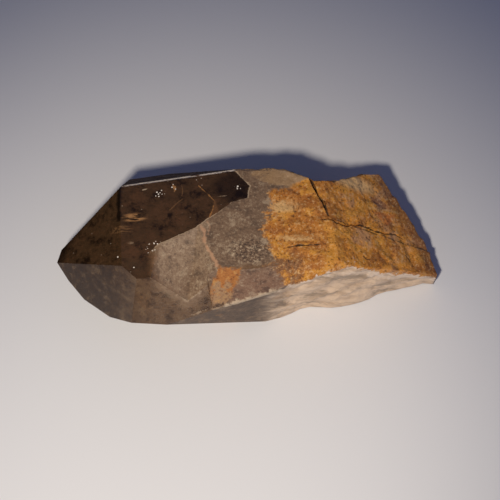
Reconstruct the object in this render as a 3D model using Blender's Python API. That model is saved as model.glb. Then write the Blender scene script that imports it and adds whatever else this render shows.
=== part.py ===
"""Citrine crystal: one smoky quartz point lying on a prism face, its root end broken and iron stained.

The crystal is cut from a block by its own growth faces, each given by its bearing around the long axis,
its lean from that axis and its reach from the crystal's centre. Contact facets, a chip, the broken blocks
and the cracks are then cut out of it, and the broken half is roughened.
"""
import math
from dataclasses import dataclass

import bmesh
import bpy
from mathutils import Matrix, Vector, noise

NODE = "citrine_crystal"
BODY_COLLECTION = "citrine_crystal_parts"
CUTTER_COLLECTION = "citrine_crystal_cutters"

MM = 0.001

# Driving dimensions, in millimetres and degrees.
THICKNESS = 22.0
CENTRE = Vector((0.0, 0.0, THICKNESS / 2.0))
STOCK_SIZE = 130.0
WELD = 0.0001

# The broken half: where it starts, how it fades in and how finely it is meshed.
BROKEN_FROM_X = 3.6
BROKEN_FADE = 5.5
BROKEN_LINE_WANDER = 1.6
EDGE_LENGTH = 1.3
HIDDEN_EDGE_LENGTH = 2.4
HIDDEN_BELOW_Z = 1.5
HIDDEN_BEYOND_Y = 13.5
REFINE_ROUNDS = 12

# The middle line of the tapering root: (y, z) where the taper starts and how far it moves by its end.
ROOT_MIDDLE = (3.0, 10.0)
ROOT_MIDDLE_SHIFT = (-6.0, -8.0)
TAPER_START_X = 18.0
TAPER_LENGTH = 21.0
END_START_X = 24.0
END_LENGTH = 12.0
END_PULL = 0.7
LEAST_REACH = 2.5

# Relief of the break: depths lost, and the spacing of its features as turns of noise per millimetre.
LEDGE_DEPTH = 0.42
LEDGE_SPACING = Vector((0.16, 0.42, 0.30))
LEDGE_SHARPNESS = 2.2
LEDGE_WANDER = 1.5
LEDGE_WANDER_SPACING = 0.22
GRAIN_DEPTH = 0.20
GRAIN_SPACING = 0.62
GRAIN_OCTAVES = 3
WALL_WAVE_DEPTH = 0.75
WALL_WAVE_PER_Z = 1.25
WALL_WAVE_PER_X = 0.42
WALL_SWELL = 4.0
WALL_SWELL_SPACING = Vector((0.11, 0.0, 0.16))
UNDERSIDE_DEPTH = 0.60
WALL_OUT = Vector((0.24, -0.97, 0.0))
FOOT_DRAWN_IN = 0.65
FOOT_HEIGHT = 6.0
FOOT_FADE = 4.5
# Swells along the foot of the near wall: middle and half length along X, and how far they stand out.
FOOT_SWELLS = ((12.2, 3.6, -0.6), (20.9, 6.2, 0.95))
BLOCK_STEP = 0.20


@dataclass(frozen=True)
class Face:
    """A flat face: bearing around the long axis from +Z towards +Y, lean from -X, reach from the centre."""

    bearing: float
    lean: float
    reach: float

    def normal(self):
        turn = math.radians(self.bearing)
        lean = math.radians(self.lean)
        across = math.sin(lean)
        return Vector((-math.cos(lean), across * math.sin(turn), across * math.cos(turn)))

    def point(self):
        return CENTRE + self.normal() * self.reach

    def sunk(self, depth):
        return Face(self.bearing, self.lean, self.reach - depth)

    def height_over(self, x, y):
        """Height of the face above the resting plane at a place in plan."""
        normal = self.normal()
        flat = Vector((x, y, 0.0))
        return (normal.dot(self.point()) - normal.dot(flat)) / normal.z


TOP = Face(0.0, 90.0, THICKNESS / 2.0)
NEAR_UPPER = Face(-59.3, 96.2, 13.17)
BROKEN_SLOPE = Face(2.2, 125.3, 17.99)

PRISM_FACES = (
    TOP,
    NEAR_UPPER,
    Face(-119.7, 84.6, 15.96),
    Face(180.0, 90.0, THICKNESS / 2.0),
    Face(118.3, 81.8, 17.38),
    Face(58.0, 82.3, 15.90),
    Face(67.0, 90.2, 15.18),
)

POINT_FACES = (
    Face(-2.7, 53.6, 23.33),
    Face(-52.3, 54.1, 25.09),
    Face(58.9, 43.6, 26.49),
    Face(147.4, 49.3, 22.39),
    Face(180.0, 56.0, 20.93),
    Face(-124.0, 62.2, 23.64),
    Face(-144.4, 48.1, 27.06),
    Face(-157.3, 40.6, 28.99),
    Face(-123.6, 84.7, 15.01),
)

BREAK_FACES = (
    BROKEN_SLOPE,
    Face(90.0, 144.15, 31.00),
    Face(90.0, 163.7, 36.00),
    Face(-88.3, 103.9, 12.66),
    Face(90.0, 95.0, 17.58),
)

# Frosted facets left by a neighbouring crystal: each is everything above these faces.
CONTACT_TAIL = Face(-10.2, 127.2, -0.86)
LEFT_CONTACT = (Face(-25.8, 104.4, 7.51), CONTACT_TAIL, Face(-19.8, 62.1, 13.81))
RIGHT_CONTACT = (Face(-2.4, 91.6, 10.76), CONTACT_TAIL)
STAINED_CHIP = (Face(-51.4, 83.0, 13.93), Face(0.8, 172.2, -6.42))
FAR_BLOCK = (BROKEN_SLOPE.sunk(BLOCK_STEP), Face(74.9, 154.4, 16.17), Face(87.1, 93.4, 2.91))
FAR_NOTCH = (Face(63.5, 109.2, 16.93), Face(64.1, 90.7, 13.50), Face(65.9, 71.5, 6.82))

# Cracks as plan paths, with the width and depth of the opening.
MAIN_CRACK = ((10.9, 12.3), (12.7, 8.9), (13.4, 7.2), (14.1, 6.0), (14.9, 4.5), (15.6, 2.2))
BRANCH_CRACK = (
    (14.5, 1.2), (15.6, 1.4), (16.6, 1.2), (17.6, 0.9), (19.0, 0.9), (20.5, 1.7),
    (22.2, 2.1), (23.8, 2.2), (24.7, 2.0), (25.9, 1.8), (27.7, 2.1), (29.6, 2.6), (31.2, 2.1),
)
SHELF_CRACK = ((7.0, -4.8), (10.0, -4.2), (13.8, -3.9))
SMALL_CRACK = ((31.3, -1.5), (32.6, -2.5))


def clear_scene():
    for item in list(bpy.data.objects):
        bpy.data.objects.remove(item, do_unlink=True)


def new_collection(name):
    collection = bpy.data.collections.new(name)
    bpy.context.scene.collection.children.link(collection)
    return collection


def slice_off(bm, point, normal):
    """Removes what lies beyond a plane and closes the opening with one flat face."""
    everything = bm.verts[:] + bm.edges[:] + bm.faces[:]
    bmesh.ops.bisect_plane(
        bm, geom=everything, dist=WELD, plane_co=point, plane_no=normal, clear_outer=True, clear_inner=False
    )
    rim = [edge for edge in bm.edges if edge.is_boundary]
    if rim:
        bmesh.ops.holes_fill(bm, edges=rim, sides=0)


def block_from_faces(faces, outward):
    """A convex block: what is left of the stock inside the faces, or outside every one of them."""
    bm = bmesh.new()
    bmesh.ops.create_cube(bm, size=STOCK_SIZE)
    for face in faces:
        direction = face.normal() if outward else -face.normal()
        slice_off(bm, face.point(), direction)
    bmesh.ops.recalc_face_normals(bm, faces=bm.faces[:])
    return bm


def object_from_bmesh(bm, name, collection):
    mesh = bpy.data.meshes.new(name)
    bm.to_mesh(mesh)
    bm.free()
    item = bpy.data.objects.new(name, mesh)
    collection.objects.link(item)
    return item


def add_cutter(bm, name, collection):
    cutter = object_from_bmesh(bm, name, collection)
    cutter.hide_render = True
    cutter.display_type = "WIRE"
    return cutter


def crack_cutter(path, width, depth, name, collection):
    """A chain of three-sided wedges that follow a crack, points down, closing towards both ends."""
    bm = bmesh.new()
    last = len(path) - 2
    for index in range(len(path) - 1):
        start = surface_point(*path[index])
        end = surface_point(*path[index + 1])
        along = (end - start).normalized()
        down = (Vector((0.0, 0.0, -1.0)) + along * along.z).normalized()
        across = along.cross(down)
        taper_in = 0.35 if index == 0 else 1.0
        taper_out = 0.25 if index == last else 1.0
        wedge = bmesh.ops.create_cone(
            bm, cap_ends=True, segments=3, radius1=taper_in, radius2=taper_out,
            depth=(end - start).length + width * 0.5,
        )["verts"]
        tip = Vector(wedge[0].co)
        tip.z = 0.0
        turn = Matrix.Rotation(-math.atan2(tip.y, tip.x), 4, "Z")
        stretch = Matrix.Diagonal((depth, width * 0.85, 1.0, 1.0))
        frame = Matrix((down, across, along)).transposed().to_4x4()
        place = Matrix.Translation((start + end) * 0.5)
        bmesh.ops.transform(bm, verts=wedge, matrix=place @ frame @ stretch @ turn)
    bmesh.ops.recalc_face_normals(bm, faces=bm.faces[:])
    return add_cutter(bm, name, collection)


def surface_point(x, y):
    """Place on the upper side of the stone over a point in plan."""
    heights = [face.height_over(x, y) for face in (TOP, NEAR_UPPER, BROKEN_SLOPE, RIGHT_CONTACT[0])]
    return Vector((x, y, min(heights)))


def cut_away(body, cutters):
    """Takes each cutter out of the body and keeps the result as plain mesh."""
    for cutter in cutters:
        step = body.modifiers.new(cutter.name, "BOOLEAN")
        step.operation = "DIFFERENCE"
        step.solver = "EXACT"
        step.use_self = True
        step.object = cutter
    graph = bpy.context.evaluated_depsgraph_get()
    result = bpy.data.meshes.new_from_object(body.evaluated_get(graph))
    body.modifiers.clear()
    old = body.data
    body.data = result
    bpy.data.meshes.remove(old)


def smooth_step(value, start, width):
    share = min(max((value - start) / width, 0.0), 1.0)
    return share * share * (3.0 - 2.0 * share)


def allowed_edge(edge):
    """Longest edge wanted here: any on the growth faces, short on the seen break, longer underneath."""
    first, second = edge.verts[0].co, edge.verts[1].co
    if min(first.x, second.x) < BROKEN_FROM_X - WELD:
        return STOCK_SIZE
    middle = (first + second) * 0.5
    hidden = middle.z < HIDDEN_BELOW_Z or middle.y > HIDDEN_BEYOND_Y
    return HIDDEN_EDGE_LENGTH if hidden else EDGE_LENGTH


def refine_broken_half(bm):
    """Parts the mesh at the start of the break and halves its longest edges beyond it."""
    everything = bm.verts[:] + bm.edges[:] + bm.faces[:]
    start = Vector((BROKEN_FROM_X, 0.0, 0.0))
    bmesh.ops.bisect_plane(bm, geom=everything, dist=WELD, plane_co=start, plane_no=Vector((1.0, 0.0, 0.0)))
    bmesh.ops.triangulate(bm, faces=bm.faces[:])
    for _ in range(REFINE_ROUNDS):
        longest = {max(face.edges, key=lambda edge: edge.calc_length()) for face in bm.faces}
        chosen = [edge for edge in bm.edges if edge in longest and edge.calc_length() > allowed_edge(edge)]
        if not chosen:
            break
        bmesh.ops.subdivide_edges(bm, edges=chosen, cuts=1, use_single_edge=True)
        bmesh.ops.triangulate(bm, faces=[face for face in bm.faces if len(face.verts) > 3])


def broken_share(point):
    """How broken the stone is here: none on the growth faces, full beyond a ragged line across it."""
    wander = BROKEN_LINE_WANDER * noise.noise(Vector((3.0, point.y * 0.35, point.z * 0.3)))
    ragged = smooth_step(point.x + wander, BROKEN_FROM_X + 0.4, BROKEN_FADE)
    return ragged * smooth_step(point.x, BROKEN_FROM_X, 1.2)


def inward(point):
    """Direction into the stone, towards a line that follows the middle of the tapering root."""
    taper = smooth_step(point.x, TAPER_START_X, TAPER_LENGTH)
    across = ROOT_MIDDLE[0] + ROOT_MIDDLE_SHIFT[0] * taper - point.y
    down = ROOT_MIDDLE[1] + ROOT_MIDDLE_SHIFT[1] * taper - point.z
    reach = max(math.hypot(across, down), LEAST_REACH)
    back = END_PULL * smooth_step(point.x, END_START_X, END_LENGTH)
    return Vector((-back, across / reach, down / reach))


def ledges(point):
    """Long low ledges that run with the crystal, from none to one."""
    wander = noise.noise(point * LEDGE_WANDER_SPACING) * LEDGE_WANDER
    run = (point + Vector((0.0, wander, 0.0))) * LEDGE_SPACING
    return min(max(1.0 - abs(noise.noise(run)) * LEDGE_SHARPNESS, 0.0), 1.0)


def grain(point):
    """Close pits and crumbs, from none to one."""
    return 0.5 + 0.5 * noise.fractal(point * GRAIN_SPACING, 0.9, 2.0, GRAIN_OCTAVES)


def wall_waves(point):
    """Silky waves along the pale near wall, from none to one."""
    swell = noise.noise(point * WALL_SWELL_SPACING + Vector((0.0, WALL_SWELL, 0.0)))
    layers = math.sin(point.z * WALL_WAVE_PER_Z - point.x * WALL_WAVE_PER_X + swell * WALL_SWELL)
    return 0.5 + 0.28 * layers + 0.5 * swell


def relief(point):
    """Depth of stone lost from the flat break at this place."""
    direction = inward(point)
    near_wall = smooth_step(direction.y, 0.55, 0.35)
    underside = smooth_step(direction.z, 0.35, 0.35)
    wall = WALL_WAVE_DEPTH * wall_waves(point) + GRAIN_DEPTH * 0.5 * grain(point)
    under = UNDERSIDE_DEPTH * (0.25 + 0.75 * grain(point))
    upper = LEDGE_DEPTH * ledges(point) + GRAIN_DEPTH * grain(point)
    side = near_wall * wall + (1.0 - near_wall) * upper
    return broken_share(point) * max(underside * under + (1.0 - underside) * side, 0.0)


def foot_shift(point):
    """How far the foot of the pale near wall stands out here, or in where it is negative."""
    out = -FOOT_DRAWN_IN * smooth_step(point.x, BROKEN_FROM_X, 3.5)
    for middle, half, depth in FOOT_SWELLS:
        out += depth * smooth_step(half - abs(point.x - middle), 0.0, half * 0.6)
    low = smooth_step(FOOT_HEIGHT - point.z, 0.0, FOOT_FADE)
    return out * low * smooth_step(inward(point).y, 0.25, 0.3)


def roughen(bm):
    """Sinks each point of the broken half into the stone, and shapes the foot of the near wall."""
    for vert in bm.verts:
        vert.co += inward(vert.co) * relief(vert.co) + WALL_OUT * foot_shift(vert.co)


def stone_material():
    """Smoky quartz, clear and polished by growth."""
    material = bpy.data.materials.new("smoky_quartz")
    material.use_nodes = True
    shader = material.node_tree.nodes["Principled BSDF"]
    shader.inputs["Base Color"].default_value = (0.115, 0.070, 0.042, 1.0)
    shader.inputs["Roughness"].default_value = 0.22
    shader.inputs["Metallic"].default_value = 0.0
    shader.inputs["IOR"].default_value = 1.544
    material.diffuse_color = (0.115, 0.070, 0.042, 1.0)
    return material


def finish_mesh(body):
    """Welds, triangulates, scales to metres and stands the stone over the middle of its own box."""
    bm = bmesh.new()
    bm.from_mesh(body.data)
    bmesh.ops.remove_doubles(bm, verts=bm.verts[:], dist=WELD)
    bmesh.ops.triangulate(bm, faces=bm.faces[:])
    bmesh.ops.recalc_face_normals(bm, faces=bm.faces[:])
    low = Vector(min(vert.co[axis] for vert in bm.verts) for axis in range(3))
    high = Vector(max(vert.co[axis] for vert in bm.verts) for axis in range(3))
    shift = Vector(((low.x + high.x) * -0.5, (low.y + high.y) * -0.5, -low.z))
    bmesh.ops.translate(bm, verts=bm.verts[:], vec=shift)
    bmesh.ops.scale(bm, verts=bm.verts[:], vec=Vector((MM, MM, MM)))
    bm.to_mesh(body.data)
    bm.free()
    for polygon in body.data.polygons:
        polygon.use_smooth = False


def build():
    clear_scene()
    parts = new_collection(BODY_COLLECTION)
    cutters = new_collection(CUTTER_COLLECTION)
    body = object_from_bmesh(block_from_faces(PRISM_FACES + POINT_FACES + BREAK_FACES, True), NODE, parts)
    cut_away(body, [
        add_cutter(block_from_faces(RIGHT_CONTACT, False), "right_contact", cutters),
        add_cutter(block_from_faces(LEFT_CONTACT, False), "left_contact", cutters),
        add_cutter(block_from_faces(STAINED_CHIP, False), "stained_chip", cutters),
        add_cutter(block_from_faces(FAR_BLOCK, False), "far_block", cutters),
        add_cutter(block_from_faces(FAR_NOTCH, False), "far_notch", cutters),
    ])
    bm = bmesh.new()
    bm.from_mesh(body.data)
    refine_broken_half(bm)
    roughen(bm)
    bm.to_mesh(body.data)
    bm.free()
    cut_away(body, [
        crack_cutter(MAIN_CRACK, 0.60, 2.4, "main_crack", cutters),
        crack_cutter(BRANCH_CRACK, 0.42, 1.8, "branch_crack", cutters),
        crack_cutter(SHELF_CRACK, 0.34, 1.3, "shelf_crack", cutters),
        crack_cutter(SMALL_CRACK, 0.36, 1.1, "small_crack", cutters),
    ])
    finish_mesh(body)
    body.data.materials.clear()
    body.data.materials.append(stone_material())


build()
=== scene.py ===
"""Dresses a smoky citrine quartz point: clear brown growth faces, frosted contact faces, a rust-stained root
broken across, and a milky broken wall. Finishes measure in millimetres, the mesh and the studio in metres."""

import logging
import math
from collections.abc import Iterable
from dataclasses import dataclass, field
from enum import Enum
from typing import Any

import bpy
import numpy as np
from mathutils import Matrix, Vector


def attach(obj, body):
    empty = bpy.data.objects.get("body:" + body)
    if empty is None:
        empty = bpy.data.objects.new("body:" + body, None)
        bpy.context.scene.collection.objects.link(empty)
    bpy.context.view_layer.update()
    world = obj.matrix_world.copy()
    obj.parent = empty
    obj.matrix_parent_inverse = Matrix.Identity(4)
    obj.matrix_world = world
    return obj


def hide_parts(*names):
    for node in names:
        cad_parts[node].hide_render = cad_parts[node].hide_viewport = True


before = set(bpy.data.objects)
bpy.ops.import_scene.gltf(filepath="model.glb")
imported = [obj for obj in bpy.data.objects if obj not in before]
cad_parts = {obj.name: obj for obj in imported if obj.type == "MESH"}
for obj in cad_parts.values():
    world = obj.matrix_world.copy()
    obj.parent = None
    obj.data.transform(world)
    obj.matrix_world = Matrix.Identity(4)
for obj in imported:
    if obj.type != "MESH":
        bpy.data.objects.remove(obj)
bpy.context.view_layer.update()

MM = 0.001
# The ways that the main faces look: up, towards the viewer, and away and up.
UP = (0.0, 0.0, 1.0)
NEAR = (0.0, -1.0, 0.0)
FAR = (0.0, 0.85, 0.5)
NODE = "citrine_crystal"
BODY = "root"

Point = tuple[float, float]
Place = tuple[float, float, float]
Path = tuple[Point, ...]
Colour = tuple[float, float, float, float]
Source = bpy.types.Node | bpy.types.NodeSocket | float

log = logging.getLogger("crystal")


def linear(hex_colour: str) -> Colour:
    """Turn an sRGB hex colour into linear light.

    Args:
        hex_colour: Six hex digits, with or without a leading hash.

    Returns:
        Red, green, blue and an alpha of one, in linear light.
    """
    digits = hex_colour.lstrip("#")
    parts = [int(digits[i : i + 2], 16) / 255 for i in (0, 2, 4)]
    bright = [c / 12.92 if c <= 0.04045 else ((c + 0.055) / 1.055) ** 2.4 for c in parts]
    return (bright[0], bright[1], bright[2], 1.0)


def add_node(
    tree: bpy.types.NodeTree, kind: str, *values: Any, named: dict[str, Any] | None = None, **settings: Any
) -> bpy.types.Node:
    """Add one node to a tree, with its settings, values and links.

    Args:
        tree: The tree that takes the node.
        kind: The node's type, without the ShaderNode it starts with.
        values: For each input in turn a number, a colour, a node, a socket, or None to leave it.
        named: The same for inputs given by name.
        settings: The node's own properties.

    Returns:
        The new node.
    """
    node = tree.nodes.new("ShaderNode" + kind)
    for key, value in settings.items():
        setattr(node, key, value)
    sockets = [s for s in node.inputs if s.enabled]
    pairs = list(zip(sockets, values))
    for key, value in (named or {}).items():
        pairs.append((next(s for s in sockets if s.name == key), value))
    for socket, value in pairs:
        if isinstance(value, bpy.types.Node):
            value = next(s for s in value.outputs if s.enabled)
        if isinstance(value, bpy.types.NodeSocket):
            tree.links.new(value, socket)
        elif value is not None:
            socket.default_value = value
    return node


def only(obj: bpy.types.Object) -> None:
    """Deselect everything, then select one object and make it active.

    Args:
        obj: The object.
    """
    bpy.ops.object.select_all(action="DESELECT")
    obj.select_set(True)
    bpy.context.view_layer.objects.active = obj


def apply_modifier(obj: bpy.types.Object, kind: str, **settings: Any) -> None:
    """Add a modifier to an object and apply it at once.

    Args:
        obj: The object to change.
        kind: The modifier's type.
        settings: The modifier's own properties.
    """
    only(obj)
    modifier = obj.modifiers.new(kind.title(), kind)
    for key, value in settings.items():
        setattr(modifier, key, value)
    bpy.ops.object.modifier_apply(modifier=modifier.name)


def smooth_step(value: float, low: float, high: float) -> float:
    """Rise smoothly from 0 at low to 1 at high.

    Args:
        value: What is measured.
        low: Where the rise starts.
        high: Where the rise ends.

    Returns:
        A share from 0 to 1.
    """
    share = min(max((value - low) / (high - low), 0.0), 1.0)
    return share * share * (3 - 2 * share)


@dataclass(frozen=True)
class Layer:
    """What a surface gives at a point: its colour, the share of light it lets in and its roughness."""

    tone: Source | Colour
    clear: Source
    rough: Source


@dataclass(frozen=True)
class Oval:
    """A patch in plan: its middle, half length and half width, and its turn from the X axis in degrees."""

    centre: Point
    radii: Point
    turn: float = 0.0


class Pattern:
    """Builds the masks of one material from Object coordinates, in millimetres."""

    def __init__(self, tree: bpy.types.NodeTree) -> None:
        """Start with an empty tree and read the coordinates.

        Args:
            tree: The material's node tree.
        """
        self.tree = tree
        coords = add_node(tree, "TexCoord")
        self.metres = coords.outputs["Object"]
        self.place = add_node(tree, "VectorMath", self.metres, operation="SCALE", named={"Scale": 1 / MM})
        self.plan = add_node(tree, "VectorMath", self.place, (1.0, 1.0, 0.0), operation="MULTIPLY")
        self.normal = coords.outputs["Normal"]
        self.x, self.y, self.z = (
            add_node(tree, "VectorMath", self.place, axis, operation="DOT_PRODUCT").outputs["Value"]
            for axis in ((1.0, 0.0, 0.0), (0.0, 1.0, 0.0), (0.0, 0.0, 1.0))
        )
        # Edges wander by a tenth or two of a millimetre, or by a multiple of that.
        self.drift = add_node(tree, "Math", self.grain(1.4, 6.0, 0.65), 0.5, operation="SUBTRACT")

    def fade(self, value: Source, low: float, high: float, top: float = 1.0) -> bpy.types.Node:
        """Turn a distance into a mask that rises from 0 at low to its top at high; low may be the larger.

        Args:
            value: The node or socket to read.
            low: Where the mask is 0.
            high: Where the mask is at its top.
            top: The mask's largest value.

        Returns:
            The mask's node.
        """
        ends = (low, high, 0.0, top) if low < high else (high, low, top, 0.0)
        return add_node(self.tree, "MapRange", value, *ends, interpolation_type="SMOOTHSTEP")

    def both(self, *masks: Source) -> Source:
        """Keep what lies in every one of some masks.

        Args:
            masks: The masks.

        Returns:
            The node of their product.
        """
        kept = masks[0]
        for mask in masks[1:]:
            kept = add_node(self.tree, "Math", kept, mask, operation="MULTIPLY")
        return kept

    def either(self, masks: Iterable[Source]) -> Source:
        """Keep what lies in any one of some masks.

        Args:
            masks: The masks, each made only when its turn comes.

        Returns:
            The node of the largest.
        """
        kept = None
        for mask in masks:
            kept = mask if kept is None else add_node(self.tree, "Math", kept, mask, operation="MAXIMUM")
        return kept

    def wander(self, gap: Source, by: float) -> bpy.types.Node:
        """Let a distance wander, so that what is drawn with it looks grown.

        Args:
            gap: The distance.
            by: How many times the drift is added to it.

        Returns:
            The node of their sum.
        """
        return add_node(self.tree, "Math", self.drift, by, gap, operation="MULTIPLY_ADD")

    def grain(
        self,
        size_mm: float,
        detail: float = 4.0,
        rough: float = 0.6,
        stretch: Place = (1, 1, 1),
        dip: float = 0.0,
    ) -> bpy.types.Node:
        """Make a cloudy grain of a real size, stretched or squeezed along the axes.

        Args:
            size_mm: The width of its largest clumps.
            detail: How many finer sizes are added.
            rough: How strong the finer sizes are.
            stretch: How many times longer the clumps are along each axis.
            dip: How far the clumps' length dips below the X axis, in degrees.

        Returns:
            The noise node, with values round 0.5.
        """
        place = self.metres
        if stretch != (1, 1, 1):
            turned = (0.0, math.radians(dip), 0.0)
            place = add_node(self.tree, "Mapping", place, (0, 0, 0), turned, stretch, vector_type="TEXTURE")
        named = {"Scale": 1 / (size_mm * MM), "Detail": detail, "Roughness": rough}
        return add_node(self.tree, "TexNoise", place, named=named)

    def blend(self, mask: Source, under: Layer, over: Layer) -> Layer:
        """Lay one kind of surface over another where a mask says.

        Args:
            mask: The upper one's share.
            under: The lower surface.
            over: The upper surface.

        Returns:
            The two as one.
        """
        tone = add_node(self.tree, "Mix", mask, under.tone, over.tone, data_type="RGBA")
        rest = [
            add_node(self.tree, "Mix", mask, getattr(under, part), getattr(over, part), data_type="FLOAT")
            for part in ("clear", "rough")
        ]
        return Layer(tone, *rest)

    def colours(self, ground: str, *coats: tuple[Source, str]) -> Source | Colour:
        """Paint colours over each other.

        Args:
            ground: The hex colour below them all.
            coats: A mask and its hex colour for each coat.

        Returns:
            The colour's node, or the ground's colour if there is no coat.
        """
        tone = linear(ground)
        for mask, paint in coats:
            tone = add_node(self.tree, "Mix", mask, tone, linear(paint), data_type="RGBA")
        return tone

    def edge(self, along: Source, points: Path) -> bpy.types.Node:
        """Read off a boundary that runs through some points.

        Args:
            along: The socket of the coordinate that the boundary is followed along.
            points: Where it passes, as (coordinate along, coordinate across), in order.

        Returns:
            A node that gives the boundary's coordinate across.
        """
        node = add_node(self.tree, "FloatCurve", 1.0, along)
        mapping, curve = node.mapping, node.mapping.curves[0]
        mapping.use_clip = True
        mapping.clip_min_x, mapping.clip_max_x = points[0][0] - 0.01, points[-1][0] + 0.01
        mapping.clip_min_y, mapping.clip_max_y = min(p[1] for p in points) - 1, max(p[1] for p in points) + 1
        curve.points[0].location, curve.points[-1].location = points[0], points[-1]
        for point in points[1:-1]:
            curve.points.new(*point)
        for point in curve.points:
            point.handle_type = "VECTOR"
        mapping.update()
        return node

    def past(self, value: Source, along: Source, points: Path, shift: Source = 0.0) -> bpy.types.Node:
        """Measure how far a coordinate lies past a boundary.

        Args:
            value: The coordinate across the boundary.
            along: The coordinate along it.
            points: Where the boundary passes.
            shift: A distance added, such as a wander.

        Returns:
            A node that gives the distance.
        """
        gap = add_node(self.tree, "Math", value, self.edge(along, points), operation="SUBTRACT")
        return add_node(self.tree, "Math", gap, shift, operation="ADD")

    def from_path(self, points: Path) -> Source:
        """Measure the distance in plan to a line of straight stretches.

        Args:
            points: The corners of the line.

        Returns:
            A node or socket that gives the distance.
        """
        tree, nearest = self.tree, None
        for start, end in zip(points, points[1:]):
            run = Vector((*end, 0.0)) - Vector((*start, 0.0))
            off = add_node(tree, "VectorMath", self.plan, (*start, 0.0), operation="SUBTRACT")
            dot = add_node(tree, "VectorMath", off, tuple(run / run.length_squared), operation="DOT_PRODUCT")
            share = dot.outputs["Value"]
            foot = add_node(tree, "Mix", share, (0.0, 0.0, 0.0), tuple(run), data_type="VECTOR")
            gap = add_node(tree, "VectorMath", off, foot, operation="DISTANCE").outputs["Value"]
            nearest = gap if nearest is None else add_node(tree, "Math", nearest, gap, operation="MINIMUM")
        return nearest

    def line(self, path: Path, width: float, by: float, top: float) -> bpy.types.Node:
        """Draw a thin line in plan.

        Args:
            path: Its corners.
            width: How far from its middle it has faded out.
            by: How much it wanders.
            top: How strong it is.

        Returns:
            The line's mask.
        """
        return self.fade(self.wander(self.from_path(path), by), width, 0.02, top)

    def patch(self, oval: Oval) -> bpy.types.NodeSocket:
        """Measure how far out of a patch a point is, 1 being its rim.

        Args:
            oval: The patch.

        Returns:
            A socket that gives the share.
        """
        c, s = math.cos(math.radians(oval.turn)), math.sin(math.radians(oval.turn))
        long, wide = oval.radii
        off = add_node(self.tree, "VectorMath", self.plan, (*oval.centre, 0.0), operation="SUBTRACT")
        along = add_node(self.tree, "VectorMath", off, (c / long, s / long, 0.0), operation="DOT_PRODUCT")
        across = add_node(self.tree, "VectorMath", off, (-s / wide, c / wide, 0.0), operation="DOT_PRODUCT")
        pair = add_node(self.tree, "CombineXYZ", along.outputs["Value"], across.outputs["Value"])
        return add_node(self.tree, "VectorMath", pair, operation="LENGTH").outputs["Value"]

    def spot(self, oval: Oval, rim: float, middle: float, top: float = 1.0) -> bpy.types.Node:
        """Fade a patch in from its rim.

        Args:
            oval: The patch.
            rim: The share of the way out where the mask is 0.
            middle: The share of the way out where the mask is at its top.
            top: The mask's largest value.

        Returns:
            The mask's node.
        """
        return self.fade(self.patch(oval), rim, middle, top)

    def outside(self, corners: Path) -> bpy.types.Node:
        """Measure how far outside a convex outline in plan a point is, negative inside.

        Args:
            corners: The outline's corners, anticlockwise.

        Returns:
            A node that gives the distance.
        """
        far = None
        for start, end in zip(corners, corners[1:] + corners[:1]):
            run = Vector(end) - Vector(start)
            out = Vector((run.y, -run.x)).normalized()
            reach = out.dot(Vector(start))
            dot = add_node(self.tree, "VectorMath", self.place, (out.x, out.y, 0.0), operation="DOT_PRODUCT")
            gap = add_node(self.tree, "Math", dot.outputs["Value"], reach, operation="SUBTRACT")
            far = gap if far is None else add_node(self.tree, "Math", far, gap, operation="MAXIMUM")
        return far

    def faces(self, direction: Place, low: float, high: float) -> bpy.types.Node:
        """Pick the faces that look one way.

        Args:
            direction: The way.
            low: The cosine where the mask is 0.
            high: The cosine where the mask is 1.

        Returns:
            The mask's node.
        """
        way = tuple(Vector(direction).normalized())
        dot = add_node(self.tree, "VectorMath", self.normal, way, operation="DOT_PRODUCT")
        return self.fade(dot.outputs["Value"], low, high)


@dataclass(frozen=True)
class Pinpoint:
    """One painted glint, a painted highlight: where it is and its radius."""

    centre: Point
    radius: float


@dataclass(frozen=True)
class Flake:
    """A thin step broken inside the quartz, shown by a painted reflection off it: where it is, how strongly
    it shows, and if rust gilds it.
    """

    oval: Oval
    share: float
    gilded: bool = False


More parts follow.
